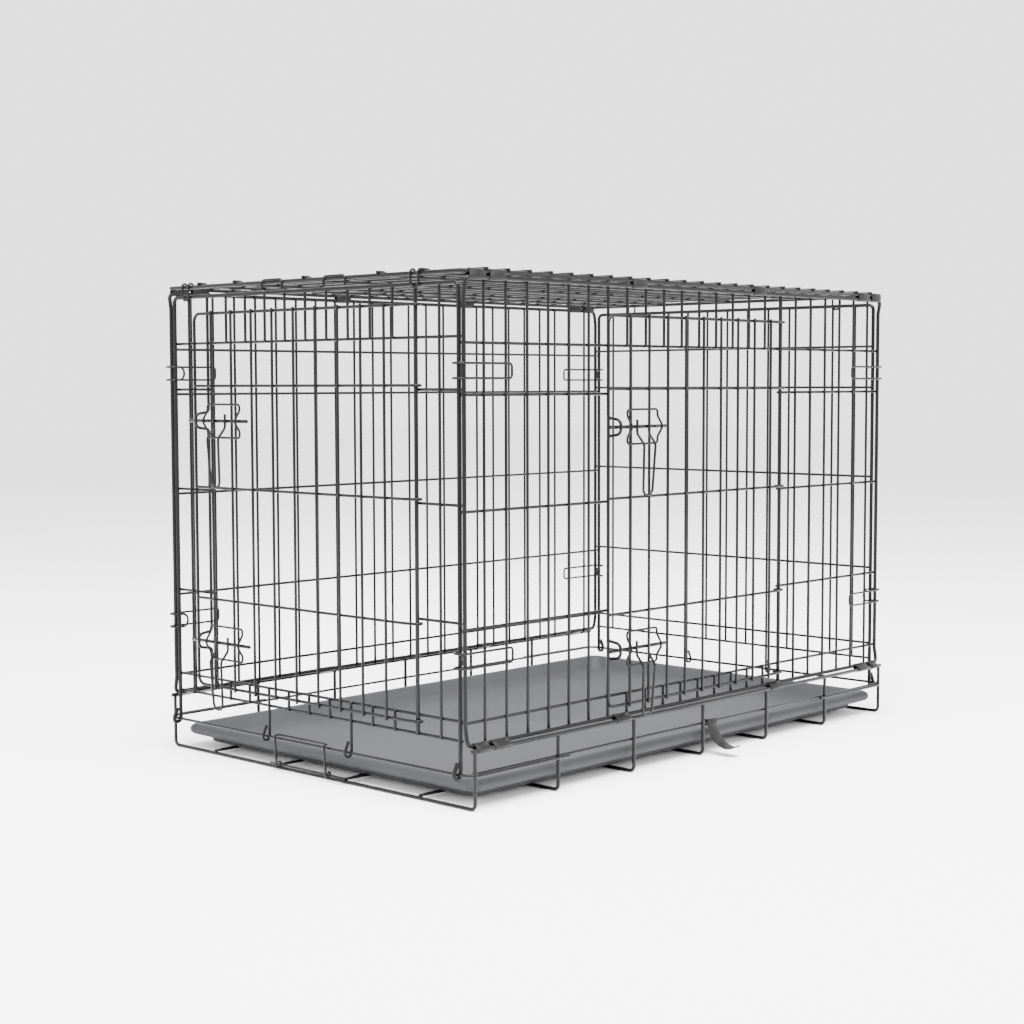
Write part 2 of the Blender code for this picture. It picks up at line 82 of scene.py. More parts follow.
# base, tray gate and sheet parts
BASE_R, BASE_CROSS_Z, FLOOR_R, FLOOR_Z = 2.4, 2.3, 2.0, 6.2
LOWER_R, PIVOT_R, PIVOT_RUN, GATE_PIVOT_R = 1.8, 2.0, 285.0, 1.7
BAIL_FOOT, BAIL_TOP, BAIL_TOP_Z, BAIL_CURL, BAIL_R = -466.0, -469.0, 49.7, 3.6, 1.5
SLEEVE_R, SLEEVE_THICK, STRAP_THICK = 2.7, 0.7, 1.2

# each side's own frame: u along the panel, d outwards, z up
FRONT = Matrix(((1, 0, 0, 0), (0, -1, 0, 0), (0, 0, 1, 0), (0, 0, 0, 1)))
BACK = Matrix(((-1, 0, 0, 0), (0, 1, 0, 0), (0, 0, 1, 0), (0, 0, 0, 1)))
LEFT = Matrix(((0, -1, 0, 0), (-1, 0, 0, 0), (0, 0, 1, 0), (0, 0, 0, 1)))
RIGHT = Matrix(((0, 1, 0, 0), (1, 0, 0, 0), (0, 0, 1, 0), (0, 0, 0, 1)))
WORLD = Matrix.Identity(4)


# ------------------------------------------------------------------ modelling
def start_clean():
    bpy.ops.object.select_all(action='DESELECT')


def settle(obj):
    """Puts the finished shape's place into its mesh."""
    start_clean()
    obj.select_set(True)
    bpy.context.view_layer.objects.active = obj
    bpy.ops.object.transform_apply(location=True, rotation=True, scale=True)
    return obj


def finish_with(obj, kind, **values):
    """Adds one modifier and applies it."""
    mod = obj.modifiers.new(kind.lower(), kind)
    for key, value in values.items():
        setattr(mod, key, value)
    start_clean()
    obj.select_set(True)
    bpy.context.view_layer.objects.active = obj
    bpy.ops.object.modifier_apply(modifier=mod.name)
    return obj


def soften(obj, width, angle=60, segments=2):
    return finish_with(obj, 'BEVEL', width=width * MM, segments=segments, limit_method='ANGLE',
                       angle_limit=math.radians(angle))


def copy_at(obj, offset):
    """A copy with its own mesh, moved by offset in millimetres."""
    new = obj.copy()
    new.data = obj.data.copy()
    bpy.context.scene.collection.objects.link(new)
    new.data.transform(Matrix.Translation(Vector(offset) * MM))
    return new


def straight(a, b, radius, sides=12):
    """A cut length of wire with broken end edges."""
    a, b = Vector(a) * MM, Vector(b) * MM
    start_clean()
    bpy.ops.mesh.primitive_cylinder_add(
        vertices=sides, radius=radius * MM, depth=(b - a).length, location=(a + b) / 2,
        rotation=(b - a).to_track_quat('Z', 'Y').to_euler())
    return soften(settle(bpy.context.object), radius * 0.28)


def row(first, offsets):
    """The first wire and its copies at these offsets."""
    return [first] + [copy_at(first, o) for o in offsets]


def uprights(us, d, z0, z1, radius):
    us = list(us)
    first = straight((us[0], d, z0), (us[0], d, z1), radius)
    return row(first, [(u - us[0], 0, 0) for u in us[1:]])


def levels(zs, d, u0, u1, radius):
    zs = list(zs)
    first = straight((u0, d, zs[0]), (u1, d, zs[0]), radius)
    return row(first, [(0, 0, z - zs[0]) for z in zs[1:]])


def bent(points, radius, bend, closed=False, sides=12, steps=5):
    """A wire bent by hand: a round blank drawn along each straight and spun round each bend."""
    pts = [Vector(p) * MM for p in points]
    bends = bend if isinstance(bend, (list, tuple)) else [bend] * len(pts)
    if closed:
        pts = [(pts[0] + pts[-1]) / 2] + pts + [(pts[0] + pts[-1]) / 2]
        bends = [0] + list(bends) + [0]
    heading = (pts[1] - pts[0]).normalized()
    start_clean()
    bpy.ops.mesh.primitive_circle_add(vertices=sides, radius=radius * MM,
                                      fill_type='NOTHING' if closed else 'NGON', location=pts[0],
                                      rotation=heading.to_track_quat('Z', 'Y').to_euler())
    obj = settle(bpy.context.object)
    bpy.ops.object.mode_set(mode='EDIT')
    bpy.ops.mesh.select_all(action='SELECT')
    at = pts[0]
    for i in range(1, len(pts)):
        onward = (pts[i + 1] - pts[i]).normalized() if i < len(pts) - 1 else heading
        angle = heading.angle(onward)
        turn = bends[min(i, len(bends) - 1)] * MM
        back_off = turn * math.tan(angle / 2) if i < len(pts) - 1 else 0.0
        limit = 0.49 * (pts[i] - pts[i - 1]).length
        if i < len(pts) - 1:
            limit = min(limit, 0.49 * (pts[i + 1] - pts[i]).length)
            if back_off > limit:
                back_off = limit
                turn = back_off / math.tan(angle / 2)
        stop = pts[i] - heading * back_off
        bpy.ops.mesh.extrude_region_move(TRANSFORM_OT_translate={"value": stop - at})
        at = stop
        if i < len(pts) - 1 and angle > 1e-4:
            axis = heading.cross(onward).normalized()
            centre = stop + axis.cross(heading) * turn
            count = max(2, round(steps * angle / (math.pi / 2)))
            bpy.ops.mesh.spin(steps=count, angle=-angle, center=centre, axis=axis)
            at = pts[i] + onward * back_off
        heading = onward
    bpy.ops.mesh.select_all(action='SELECT')
    if closed:
        bpy.ops.mesh.remove_doubles(threshold=0.00001)
    bpy.ops.mesh.normals_make_consistent(inside=False)
    bpy.ops.object.mode_set(mode='OBJECT')
    return obj


def join(parts):
    start_clean()
    for part in parts:
        part.select_set(True)
    bpy.context.view_layer.objects.active = parts[0]
    if len(parts) > 1:
        bpy.ops.object.join()
    return bpy.context.view_layer.objects.active


def piece(name, parts, side, body, slot, material, *nodes):
    """Joins parts, sets them on their side of the crate and lets them ride with a body."""
    obj = join(parts)
    obj.name = name
    obj.data.name = name
    obj.data.transform(side)
    if side.determinant() < 0:
        obj.data.flip_normals()
    obj.data.materials.clear()
    obj.data.materials.append(material)
    start_clean()
    obj.select_set(True)
    bpy.context.view_layer.objects.active = obj
    bpy.ops.object.shade_smooth_by_angle(angle=math.radians(42))
    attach(obj, body)
    if nodes:
        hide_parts(*nodes)
    return obj


# ------------------------------------------------------------------ materials
def new_group(name, inputs, outputs):
    group = bpy.data.node_groups.new(name, 'ShaderNodeTree')
    for label, kind, value in inputs:
        socket = group.interface.new_socket(label, in_out='INPUT', socket_type=kind)
        socket.default_value = value
    for label, kind in outputs:
        group.interface.new_socket(label, in_out='OUTPUT', socket_type=kind)
    return group, group.nodes.new('NodeGroupInput'), group.nodes.new('NodeGroupOutput')


def surface_group():
    """Fine grain and slow tone drift, shared by every finish."""
    colour, number = 'NodeSocketColor', 'NodeSocketFloat'
    group, gin, gout = new_group(
        "finish_detail",
        [("Tint", colour, (0.02, 0.02, 0.02, 1)), ("Dusty", colour, (0.1, 0.1, 0.1, 1)),
         ("Roughness", number, 0.4), ("Rough Range", number, 0.1), ("Grain Scale", number, 900.0),
         ("Drift Scale", number, 12.0), ("Dust", number, 0.1)],
        [("Color", colour), ("Roughness", number), ("Height", number)])
    n, link = group.nodes, group.links.new
    where = n.new('ShaderNodeTexCoord')
    grain = n.new('ShaderNodeTexNoise')
    grain.inputs["Detail"].default_value = 3.0
    grain.inputs["Roughness"].default_value = 0.6
    drift = n.new('ShaderNodeTexNoise')
    drift.inputs["Detail"].default_value = 4.0
    link(where.outputs["Object"], grain.inputs["Vector"])
    link(where.outputs["Object"], drift.inputs["Vector"])
    link(gin.outputs["Grain Scale"], grain.inputs["Scale"])
    link(gin.outputs["Drift Scale"], drift.inputs["Scale"])
    spread = n.new('ShaderNodeMapRange')
    spread.inputs["From Min"].default_value = 0.35
    spread.inputs["From Max"].default_value = 0.7
    link(drift.outputs["Fac"], spread.inputs["Value"])
    amount = n.new('ShaderNodeMath')
    amount.operation = 'MULTIPLY'
    link(spread.outputs["Result"], amount.inputs[0])
    link(gin.outputs["Dust"], amount.inputs[1])
    mix = n.new('ShaderNodeMix')
    mix.data_type = 'RGBA'
    link(amount.outputs[0], mix.inputs["Factor"])
    link(gin.outputs["Tint"], mix.inputs["A"])
    link(gin.outputs["Dusty"], mix.inputs["B"])
    link(mix.outputs["Result"], gout.inputs["Color"])
    both = n.new('ShaderNodeMath')
    both.operation = 'ADD'
    link(grain.outputs["Fac"], both.inputs[0])
    link(drift.outputs["Fac"], both.inputs[1])
    rough = n.new('ShaderNodeMath')
    rough.operation = 'MULTIPLY_ADD'
    link(both.outputs[0], rough.inputs[0])
    link(gin.outputs["Rough Range"], rough.inputs[1])
    link(gin.outputs["Roughness"], rough.inputs[2])
    link(rough.outputs[0], gout.inputs["Roughness"])
    link(grain.outputs["Fac"], gout.inputs["Height"])
    return group


DETAIL = surface_group()


def finish_material(name, tint, dusty, roughness, rough_range, grain, drift, dust, bump, lift,
                    specular):
    mat = bpy.data.materials.new(name)
    mat.use_nodes = True
    n, link = mat.node_tree.nodes, mat.node_tree.links.new
    shader = n["Principled BSDF"]
    shader.inputs["Specular IOR Level"].default_value = specular
    detail = n.new('ShaderNodeGroup')
    detail.node_tree = DETAIL
    for label, value in (("Tint", (*tint, 1)), ("Dusty", (*dusty, 1)), ("Roughness", roughness),
                         ("Rough Range", rough_range), ("Grain Scale", grain),
                         ("Drift Scale", drift), ("Dust", dust)):
        detail.inputs[label].default_value = value
    relief = n.new('ShaderNodeBump')
    relief.inputs["Strength"].default_value = bump
    relief.inputs["Distance"].default_value = lift * MM
    link(detail.outputs["Color"], shader.inputs["Base Color"])
    link(detail.outputs["Roughness"], shader.inputs["Roughness"])
    link(detail.outputs["Height"], relief.inputs["Height"])
    link(relief.outputs["Normal"], shader.inputs["Normal"])
    return mat


WIRE = finish_material("satin_black_wire", (0.003, 0.003, 0.0033), (0.007, 0.007, 0.0075), 0.24, 0.06,
                       600, 14, 0.3, 0.1, 0.01, specular=0.14)
THICK = finish_material("satin_black_frame_wire", (0.003, 0.003, 0.0033), (0.007, 0.007, 0.0075),
                        0.22, 0.06, 500, 10, 0.3, 0.1, 0.01, specular=0.16)
SHEET = finish_material("semi_gloss_black_sheet", (0.004, 0.0039, 0.0037), (0.011, 0.0105, 0.010), 0.28,
                        0.06, 1200, 60, 0.3, 0.1, 0.01, specular=0.16)
PAN = finish_material("dark_grey_moulded_plastic", (0.026, 0.0265, 0.0285), (0.036, 0.0365, 0.039), 0.50,
                      0.10, 1400, 8, 0.6, 0.6, 0.2, specular=0.16)
PAPER = finish_material("white_paper", (0.93, 0.93, 0.93), (0.90, 0.90, 0.90), 0.65, 0.05, 300, 1.5,
                        0.5, 0.05, 0.05, specular=0.1)


# ---------------------------------------------------------------- long panels
def keeper_wire(u, depth, at, z0, z1):
    """A door-opening wire that bows outwards at each latch."""
    pts, bends = [(u, depth, z0)], [0]
    for z in sorted(at):
        pts += [(u, depth, z - KEEPER_FOOT), (u, depth + KEEPER_D, z - KEEPER_BOW),
                (u, depth + KEEPER_D, z + KEEPER_BOW), (u, depth, z + KEEPER_FOOT)]
        bends += [5, CORNER_BEND, CORNER_BEND, 5]
    return bent(pts + [(u, depth, z1)], KEEPER_R, bends + [0])


def bent_frame(u, d, z0, z1, step):
    """Frame wire bent round the panel: uprights in the panel's plane, rails one step outside."""
    corners = ((-u, z0, 1), (u, z0, 1), (u, z1, -1), (-u, z1, -1))
    pts = []
    for k, (x, z, way) in enumerate(corners):
        pair = [(x, d, z + way * EASE), (x, d + step, z)]
        pts += pair if k % 2 == 0 else pair[::-1]
    return bent(pts, FRAME_R, [EASE_BEND, CORNER_BEND, CORNER_BEND, EASE_BEND] * 2, closed=True)


def long_panel(name, side, node, keepers=()):
    xs = [FIRST_X + PITCH_X * i for i in range(COUNT_X)]
    if side is BACK:
        xs = [-x for x in xs]
    z0, z1 = LOW_RAIL_Z - 2.0, HIGH_RAIL_Z + 2.0
    parts = [bent_frame(HALF_L, HALF_W, LOW_RAIL_Z, HIGH_RAIL_Z, RAIL_D - HALF_W)]
    inner = HALF_W - CROSS
    if keepers:
        full = [x for x in xs if x < OPEN_L - 1 or x > OPEN_R + 1]
        short = [x for x in xs if OPEN_L + 1 < x < OPEN_R - 1]
        parts += uprights(full, HALF_W, z0, z1, GRID_R)
        parts += uprights(short, HALF_W, HEADER_Z - WELD, z1, GRID_R)
        parts += uprights(short, HALF_W, z0, SILL_Z + WELD, GRID_R)
        parts += uprights((OPEN_R,), HALF_W, z0, z1, FRAME_R)
        parts.append(keeper_wire(OPEN_L, HALF_W, keepers, z0, z1))
        parts += levels((HEADER_Z, SILL_Z), inner, -PANEL_REACH, PANEL_REACH, GRID_R)
        parts += levels(ROWS_Z, inner, -PANEL_REACH, OPEN_L + 2, GRID_R)
        parts += levels(ROWS_Z, inner, OPEN_R - 2, PANEL_REACH, GRID_R)
    else:
        parts += uprights(xs, HALF_W, z0, z1, GRID_R)
        parts += levels((HEADER_Z,) + ROWS_Z + (SILL_Z,), inner, -PANEL_REACH, PANEL_REACH, GRID_R)
    return piece(name, parts, side, "crate", "black_wire", WIRE, node)


def top_wires():
    xs = [FIRST_X + PITCH_X * i for i in range(COUNT_X)]
    cross_z = TOP_CROSS_Z - 0.2
    cross = straight((xs[0], -TOP_REACH, cross_z), (xs[0], TOP_REACH, cross_z), GRID_R)
    parts = row(cross, [(x - xs[0], 0, 0) for x in xs[1:]])
    # the rectangular border is one frame wire with rounded corners
    for s in (-1, 1):
        parts.append(bent([(s * TOP_SPLIT, -RAIL_D, TOP_RAIL_Z), (s * TOP_END_X, -RAIL_D, TOP_RAIL_Z),
                           (s * TOP_END_X, RAIL_D, TOP_RAIL_Z), (s * TOP_SPLIT, RAIL_D, TOP_RAIL_Z)],
                          FRAME_R, EASE_BEND))
    reach = TOP_SPLIT + 1
    parts += row(straight((-reach, -RAIL_D, TOP_RAIL_Z), (reach, -RAIL_D, TOP_RAIL_Z), FRAME_R),
                 [(0, 2 * RAIL_D, 0)])
    low, y = cross_z - CROSS, TOP_LONG_Y[0]
    high, x0, x1 = TOP_END_RISE
    x2 = TOP_END_X + 3.5
    first = bent([(-x2, y, high), (-x1, y, high), (-x0, y, low), (x0, y, low), (x1, y, high),
                  (x2, y, high)], GRID_R, 8)
    parts += row(first, [(0, other - y, 0) for other in TOP_LONG_Y[1:]])
    foot, top = STAPLE_Z
    for k in (5, 8):
        y0 = HALF_W - PITCH_Y * k
        y1 = y0 - PITCH_Y
        parts.append(bent([(-STAPLE_X, y0, foot), (-STAPLE_X, y0, top), (-STAPLE_X, y1, top),
                           (-STAPLE_X, y1, foot)], STAPLE_R, 5))
    return piece("top_panel_wires", parts, WORLD, "crate", "black_wire", WIRE, "top_panel")


# ----------------------------------------------------------------- end panels
def hook(u):
    """Curls under the base's end wire and up its outer side."""
    return [(u, HALF_L, PIVOT_Z - HOOK_R), (u, PIVOT_D + HOOK_R, PIVOT_Z - HOOK_R),
            (u, PIVOT_D + HOOK_R, PIVOT_Z + 2), (u, PIVOT_D - 0.5, PIVOT_Z + 14)]


def hooked_wire(u, radius, z1):
    return bent([(u, HALF_L, z1)] + hook(u), radius, [0, HOOK_BEND, HOOK_BEND, TIP_BEND, 0])


def hooked_frame():
    """One frame wire: hook, side, top rail, side, hook."""
    pts = hook(-SIDE_Y)[::-1] + [(-SIDE_Y, HALF_L, END_RAIL_Z), (SIDE_Y, HALF_L, END_RAIL_Z)]
    bends = [0, TIP_BEND, HOOK_BEND, HOOK_BEND, CORNER_BEND]
    return bent(pts + hook(SIDE_Y), FRAME_R, bends + bends[::-1])


def end_panel(name, side, body, node, keepers=()):
    us = [-HALF_W + PITCH_Y * k for k in range(1, 14)]
    hooks = (-2 * PITCH_Y, 2 * PITCH_Y)
    z0, z1 = END_SILLS_Z[1] - WELD, END_RAIL_Z + WELD
    edge = SIDE_Y + WELD
    parts = [hooked_frame()]
    inner = HALF_L - CROSS
    plain = [u for u in us if min(abs(u - h) for h in hooks) > 1]
    if keepers:
        parts += uprights([u for u in plain if abs(u) > -END_OPEN + 1], HALF_L, z0, z1, GRID_R)
        parts += uprights([u for u in us if abs(u) < -END_OPEN - 1], HALF_L,
                          END_HEADER_Z - WELD, z1, GRID_R)
        parts += uprights([u for u in plain if abs(u) < -END_OPEN - 1], HALF_L, z0,
                          END_SILLS_Z[0] + WELD, GRID_R)
        parts += [hooked_wire(u, GRID_R, END_SILLS_Z[0] + WELD) for u in hooks]
        parts += uprights((-END_OPEN,), HALF_L, z0, z1, FRAME_R)
        parts.append(keeper_wire(END_OPEN, HALF_L, keepers, z0, z1))
        parts += levels(END_ROWS_Z, inner, -edge, END_OPEN + 2, GRID_R)
        parts += levels(END_ROWS_Z, inner, -END_OPEN - 2, edge, GRID_R)
    else:
        parts += uprights(plain, HALF_L, z0, z1, GRID_R)
        parts += [hooked_wire(u, GRID_R, z1) for u in hooks]
        parts += levels(END_ROWS_Z, inner, -edge, edge, GRID_R)
    parts += levels((END_HEADER_Z,) + END_SILLS_Z, inner, -edge, edge, GRID_R)
    return piece(name, parts, side, body, "black_wire", WIRE, node)


# ---------------------------------------------------------------------- doors
def door(name, side, body, node, depth, free, hinge, first, pitch, z0, z1, rows_z):
    frame_d, wire_d, row_d = depth + DOOR_FRAME_D, depth + DOOR_WIRE_D, depth + DOOR_ROW_D
    eye = FRAME_R + GRID_R + 0.35

    def eyed(start, d, z, radius):
        return bent([(start, d, z), (hinge - 16, d, z), (hinge - 5, depth + eye, z),
                     (hinge + eye, depth + eye, z), (hinge + eye, depth - eye, z),
                     (hinge - 3.5, depth - eye, z)], radius, [0, 5, 5, eye, eye, 0])

    parts = [bent([(hinge - 24, frame_d, z1), (free, frame_d, z1), (free, frame_d, z0),
                   (hinge - 24, frame_d, z0)], DOOR_R, DOOR_BEND, steps=8)]
    parts += [eyed(hinge - 25, frame_d, z, DOOR_EYE_R) for z in (z0, z1)]
    parts += [eyed(free, row_d, z, GRID_R) for z in rows_z]
    wires = [first + pitch * i for i in range(DOOR_WIRES)]
    parts += uprights(wires, wire_d, z0 - 3.5, z1 + 3.5, GRID_R)
    return piece(name, parts, side, body, "black_wire", WIRE, node)


def latch(name, side, body, depth, keeper, g0, g1, leg, z, reach):
    """Guide loop on the door, sliding rod, and the hairpin handle that hangs from the rod."""
    base, apex = depth + GUIDE_D, depth + GUIDE_APEX
    shape = [(base, 22.5), (base, 14), (apex, 2.5), (apex, -2.5), (base, -14), (base, -22.5)]
    pts = [(g0, d, z + h) for d, h in shape] + [(g1, d, z + h) for d, h in shape[::-1]]
    guide = bent(pts, GUIDE_R, [4.5, 6, 6, 6, 6, 4.5] * 2, closed=True)
    piece(name + "_guide_wire", [guide], side, body, "black_wire", WIRE, name + "_guide")
    rod_d = depth + ROD_D
    rod = straight((keeper - reach, rod_d, z), (g1 + ROD_TAIL, rod_d, z), ROD_R, sides=20)
    piece(name + "_round_rod", [rod], side, name + "_bolt", "black_frame", THICK, name + "_rod")
    near, far, low = rod_d + HAIRPIN_NEAR, rod_d + HAIRPIN_FAR, rod_d + HAIRPIN_LOW
    left, right, drop = g0 + leg, g0 + leg + HAIRPIN_WIDE, HAIRPIN_DROP
    pts = [(left, near, z + HAIRPIN_EAR), (left, near, z - 9), (left + 0.5, far, z - 23),
           (left + 3.0, low, z - drop), (right - 3.0, low, z - drop), (right - 0.5, far, z - 23),
           (right, near, z - 9), (right, near, z + HAIRPIN_EAR)]
    hairpin = bent(pts, HAIRPIN_R, [0, 8, 8, 8.6, 8.6, 8, 8, 0], steps=7)
    piece(name + "_hairpin", [hairpin], side, name + "_handle", "black_frame", THICK,
          name + "_handle")


# ----------------------------------------------------------------------- base
def base_wires():
    xs = [-RISER_X + RISER_X / 3 * k for k in range(7)]
    cross = bent([(xs[0], -BASE_Y, BASE_RAIL_Z), (xs[0], -BASE_Y, BASE_CROSS_Z),
                  (xs[0], BASE_Y, BASE_CROSS_Z), (xs[0], BASE_Y, BASE_RAIL_Z)], BASE_R, 7)
    parts = row(cross, [(x - xs[0], 0, 0) for x in xs[1:]])
    for y in FLOOR_LONG_Y:
        start = -464 if abs(y) < 100 else -455
        parts.append(straight((start, y, FLOOR_Z), (455, y, FLOOR_Z), FLOOR_R))
    parts += row(straight((-457.5, -BASE_Y, BASE_RAIL_Z), (457.5, -BASE_Y, BASE_RAIL_Z), FRAME_R),
                 [(0, 2 * BASE_Y, 0)])
    parts += row(straight((-454, -LOWER_RAIL_Y, LOWER_RAIL_Z), (454, -LOWER_RAIL_Y, LOWER_RAIL_Z),
                          LOWER_R), [(0, 2 * LOWER_RAIL_Y, 0)])
    out = BASE_Y + 4.0
    for s in (-1, 1):
        parts.append(bent([(s * PIVOT_RUN, -out, PIVOT_Z), (s * PIVOT_D, -out, PIVOT_Z),
                           (s * PIVOT_D, out, PIVOT_Z), (s * PIVOT_RUN, out, PIVOT_Z)], PIVOT_R, 22,
                          steps=9))
    parts.append(straight((GATE_X, -75, GATE_Z), (GATE_X, 75, GATE_Z), GATE_PIVOT_R))
    return piece("base_wires", parts, WORLD, "crate", "black_frame", THICK, "base_panel")


def gate_bail():
    low, high = GATE_Z - BAIL_CURL, GATE_Z + BAIL_CURL
    inside = GATE_X + BAIL_CURL
    pts = []
    for y, order in ((57.0, 1), (-42.0, -1)):
        run = [(GATE_X - 1.0, y, high), (inside, y, high), (inside, y, low), (BAIL_FOOT, y, low),
               (BAIL_TOP, y, BAIL_TOP_Z), (-PIVOT_D, y, BAIL_TOP_Z)]
        pts += run[::order]
    bail = bent(pts, BAIL_R, [0, 3.5, 3.5, 4, 4, 4, 4, 4, 4, 3.5, 3.5, 0])
    piece("tray_gate_bail", [bail], WORLD, "tray_gate", "black_wire", WIRE, "tray_gate")


def sheet_strap():
    """Springy strip bent over the lower rail, ending in a rounded, upturned lip."""
    y, z, x, wide = -LOWER_RAIL_Y, LOWER_RAIL_Z, 22.5, 21.0
    line = [(y + 3.4, z - 6), (y + 3.4, z + 1.5), (y + 1.6, z + 3.5), (y - 1.6, z + 3.5),
            (y - 3.5, z + 1.4), (y - 3.8, z - 5), (y - 5.5, z - 12), (y - 9, z - 19),
            (y - 15, z - 26), (y - 23, z - 31), (y - 32, z - 33.6), (y - 40, z - 33),
            (y - 46, z - 29)]
    tall = line[1][1] - line[0][1]
    start_clean()
    bpy.ops.mesh.primitive_plane_add(size=1.0, rotation=(math.pi / 2, 0, 0),
                                     location=(x * MM, line[0][0] * MM, (line[0][1] + tall / 2) * MM))
    obj = bpy.context.object
    obj.scale = (wide * MM, tall * MM, 1)
    settle(obj)
    # the strip grows from the top edge, one extrusion for each step along it
    bpy.ops.object.mode_set(mode='EDIT')
    bpy.ops.mesh.select_mode(type='VERT')
    bpy.ops.mesh.select_all(action='DESELECT')
    bpy.ops.object.mode_set(mode='OBJECT')
    for v in obj.data.vertices:
        v.select = v.co.z > (line[0][1] + tall / 2) * MM
    bpy.ops.object.mode_set(mode='EDIT')
    for a, b in zip(line[1:], line[2:]):
        bpy.ops.mesh.extrude_region_move(
            TRANSFORM_OT_translate={"value": (0, (b[0] - a[0]) * MM, (b[1] - a[1]) * MM)})
    bpy.ops.mesh.bevel(offset=5 * MM, segments=5, affect='VERTICES')
    bpy.ops.mesh.select_all(action='SELECT')
    bpy.ops.mesh.normals_make_consistent(inside=False)
    bpy.ops.object.mode_set(mode='OBJECT')
    finish_with(obj, 'SOLIDIFY', thickness=STRAP_THICK * MM, offset=0.0)
    soften(obj, 0.35, 50)
    piece("tray_clip_strap", [obj], WORLD, "tray_clip", "black_sheet", SHEET, "tray_clip")


def moulded_tray():
    """Pan drawn up from its underside: low wall, overhanging rolled rim, inner wall and floor."""
    half_x, half_y, shift = 421.0, 262.0, 5.0
    start_clean()
    bpy.ops.mesh.primitive_plane_add(size=1.0, location=(shift * MM, 0, 7.2 * MM))
    obj = bpy.context.object
    obj.scale = (2 * half_x * MM, 2 * half_y * MM, 1)
    settle(obj)
    bpy.ops.object.mode_set(mode='EDIT')
    bpy.ops.mesh.select_all(action='SELECT')
    bpy.ops.mesh.bevel(offset=16 * MM, segments=9, affect='VERTICES')
    bpy.ops.mesh.select_all(action='SELECT')
    steps = ((2.5, 0.6), (1.5, 1.6), (0.4, 4.4), (2.5, 1.7), (7, 1.6), (7, 1.3), (3.4, 1.4),
             (1.9, 2.2), (0.6, 2.6), (-0.2, 3.0), (-1.4, 2.8), (-2.8, 2.0), (-3.2, 0.9), (-3.2, 0),
             (-2.4, -0.9), (-1.6, -1.9), (-7.5, -12), (-2.5, -3.6), (-3, -3), (-4, -1.6))
    for out, rise in steps:
        bpy.ops.mesh.extrude_region_move(TRANSFORM_OT_translate={"value": (0, 0, rise * MM)})
        bpy.ops.transform.resize(value=((half_x + out) / half_x, (half_y + out) / half_y, 1),
                                 center_override=(shift * MM, 0, 0))
        half_x, half_y = half_x + out, half_y + out
    bpy.ops.mesh.select_all(action='SELECT')
    bpy.ops.mesh.normals_make_consistent(inside=False)
    bpy.ops.object.mode_set(mode='OBJECT')
    piece("moulded_pan", [obj], WORLD, "tray", "grey_plastic", PAN, "tray")


# ---------------------------------------------------------------- small parts
def corner_ring(name, sx, sy, z):
    out, inside = sy * 292.4, sy * 274.6
    run = [(sx * 378, out), (sx * 466, out), (sx * 466, inside), (sx * 446, inside)]
    pts = [(x, y, z + 9) for x, y in run] + [(x, y, z - 9) for x, y in run[::-1]]
    ring = bent(pts, SMALL_R, [8.6, 7, 7, 8.6] * 2, closed=True, steps=7)
    piece(name + "_wire", [ring], WORLD, "crate", "black_wire", WIRE, name)


def sleeve(name, x, length, sy, y, z, turn, reach):
    """Sheet sleeve rolled round two rails: a tube pulled out to an oval and crimped flat."""
    start_clean()
    bpy.ops.mesh.primitive_cylinder_add(vertices=24, radius=SLEEVE_R * MM, depth=length * MM,
                                        end_fill_type='NOTHING', rotation=(0, math.pi / 2, 0))
    obj = settle(bpy.context.object)
    bpy.ops.object.mode_set(mode='EDIT')
    bpy.ops.mesh.select_all(action='DESELECT')
    bpy.ops.object.mode_set(mode='OBJECT')
    for v in obj.data.vertices:
        v.select = v.co.y > 1e-5
    bpy.ops.object.mode_set(mode='EDIT')
    bpy.ops.transform.translate(value=(0, 2 * reach * MM, 0))
    bpy.ops.mesh.select_all(action='SELECT')
    bpy.ops.transform.translate(value=(0, -reach * MM, 0))
    bpy.ops.object.mode_set(mode='OBJECT')
    finish_with(obj, 'SOLIDIFY', thickness=SLEEVE_THICK * MM, offset=1.0)
    soften(obj, 0.2, 50)
    obj.data.transform(Matrix.Rotation(-turn * sy, 4, 'X'))
    obj.data.transform(Matrix.Translation(Vector((x, sy * y, z)) * MM))
    piece(name + "_sleeve", [obj], WORLD, "crate", "black_sheet", SHEET, name)


def hanging_loop(name, sx, y):
    outside, inside, over = 461.6, 453.4, 654.4
    pts = [(sx * inside, y, 647.0), (sx * inside, y, over), (sx * outside, y, over),
           (sx * outside, y, 631.5), (sx * outside, y + 14, 631.5), (sx * outside, y + 14, over),
           (sx * inside, y + 14, over), (sx * inside, y + 14, 647.0)]
    loop = bent(pts, SMALL_R, [0, 3.8, 3.8, 6.5, 6.5, 3.8, 3.8, 0])
    piece(name + "_wire", [loop], WORLD, "crate", "black_wire", WIRE, name)


# --------------------------------------------------------------- the assembly
base_wires()
moulded_tray()
gate_bail()
sheet_strap()
front_at, left_at = (459.0, 168.0), (466.0, 163.0)
long_panel("front_panel_wires", FRONT, "front_panel", front_at)
long_panel("back_panel_wires", BACK, "back_panel")
top_wires()
end_panel("left_end_wires", LEFT, "left_end", "left_end_panel", left_at)
end_panel("right_end_wires", RIGHT, "right_end", "right_end_panel")
door("front_door_wires", FRONT, "front_door", "front_door", HALF_W, OPEN_L - 7.6, OPEN_R,
     -158.6, 39.4, 93.5, 603.0, (508.2, 366.2, 214.5))
door("left_door_wires", LEFT, "left_door", "left_door", HALF_L, END_OPEN - 20.3, -END_OPEN,
     -185.0, 43.1, 100.0, 612.0, (513.5, 374.5, 221.0))
for level, height in zip(("upper", "lower"), front_at):
    latch("front_" + level, FRONT, "front_door", HALF_W, OPEN_L, -168.6, -106.2, 14, height, 14)
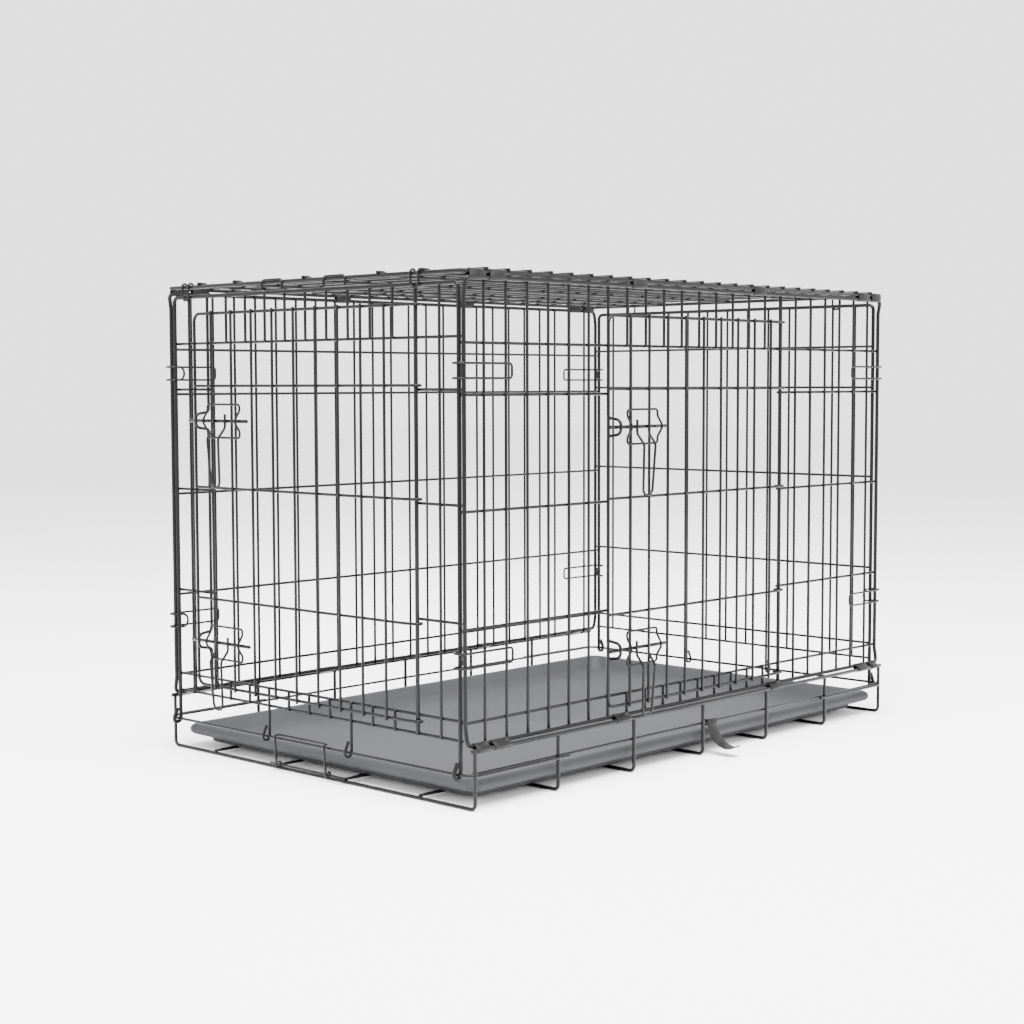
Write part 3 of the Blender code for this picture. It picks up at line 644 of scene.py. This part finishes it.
for level, height in zip(("upper", "lower"), left_at):
    latch("left_" + level, LEFT, "left_door", HALF_L, END_OPEN, -190.0, -120.9, 19.5, height, 24)
for sx, across in ((-1, "left"), (1, "right")):
    for sy, depth in ((-1, "front"), (1, "back")):
        for height, level in ((531.0, "upper"), (183.0, "lower")):
            corner_ring("ring_%s_%s_%s" % (depth, across, level), sx, sy, height)
    for k, y in enumerate((-216.0, 241.0) if sx < 0 else (-216.0, 202.0)):
        hanging_loop("top_loop_%s_%d" % (across, k + 1), sx, y)
high = ((-440.0, 27), (-403.7, 29), (-133.5, 29), (136.7, 29), (406.9, 29), (441.6, 25))
low = ((-437.1, 22), (-403.7, 29), (-172.0, 29), (175.0, 29), (406.9, 29), (438.6, 18))
for sy, depth in ((-1, "front"), (1, "back")):
    for k, (x, length) in enumerate(high):
        sleeve("clip_%s_high_%d" % (depth, k + 1), x, length, sy, RAIL_D,
               (HIGH_RAIL_Z + TOP_RAIL_Z) / 2, math.pi / 2, (TOP_RAIL_Z - HIGH_RAIL_Z) / 2)
    rise, run = BASE_RAIL_Z - LOW_RAIL_Z, BASE_Y - RAIL_D
    for k, (x, length) in enumerate(low):
        sleeve("clip_%s_low_%d" % (depth, k + 1), x, length, sy, (RAIL_D + BASE_Y) / 2,
               (LOW_RAIL_Z + BASE_RAIL_Z) / 2, math.atan2(-rise, run),
               math.hypot(rise, run) / 2)


# --------------------------------------------------------------------- studio
def studio():
    start_clean()
    bpy.ops.mesh.primitive_plane_add(size=30, location=(0, 0, 0))
    floor = bpy.context.object
    floor.name = "studio_floor"
    floor.data.materials.append(PAPER)

    world = bpy.data.worlds.new("studio_air")
    world.use_nodes = True
    world.node_tree.nodes["Background"].inputs["Color"].default_value = (1, 1, 1, 1)
    world.node_tree.nodes["Background"].inputs["Strength"].default_value = 2.6
    bpy.context.scene.world = world

    def softbox(name, place, aim, size, power):
        light = bpy.data.lights.new(name, 'AREA')
        light.shape = 'RECTANGLE'
        light.size, light.size_y = size
        light.energy = power
        obj = bpy.data.objects.new(name, light)
        bpy.context.scene.collection.objects.link(obj)
        obj.location = place
        obj.rotation_euler = (Vector(aim) - Vector(place)).to_track_quat('-Z', 'Y').to_euler()

    softbox("overhead", (-0.6, -0.8, 3.2), (0, 0, 0.2), (2.4, 2.4), 700)
    softbox("left_side", (-3.2, 0.2, 1.6), (0, 0, 0.3), (0.9, 2.0), 60)
    softbox("front_side", (1.2, -3.4, 1.5), (0, 0, 0.3), (1.2, 1.6), 60)

    lens = bpy.data.cameras.new("view")
    lens.sensor_width = 36.0
    lens.lens = 63.69
    camera = bpy.data.objects.new("view", lens)
    bpy.context.scene.collection.objects.link(camera)
    yaw, pitch, roll = math.radians(43.160), math.radians(-4.020), math.radians(-0.151)
    ahead = Vector((math.cos(pitch) * math.cos(yaw), math.cos(pitch) * math.sin(yaw),
                    math.sin(pitch)))
    across = ahead.cross(Vector((0, 0, 1))).normalized()
    up = across.cross(ahead)
    across, up = (across * math.cos(roll) + up * math.sin(roll),
                  up * math.cos(roll) - across * math.sin(roll))
    turn = Matrix((across, up, -ahead)).transposed()
    camera.matrix_world = Matrix.Translation((-1.9919, -1.8052, 0.5141)) @ turn.to_4x4()
    bpy.context.scene.camera = camera


studio()
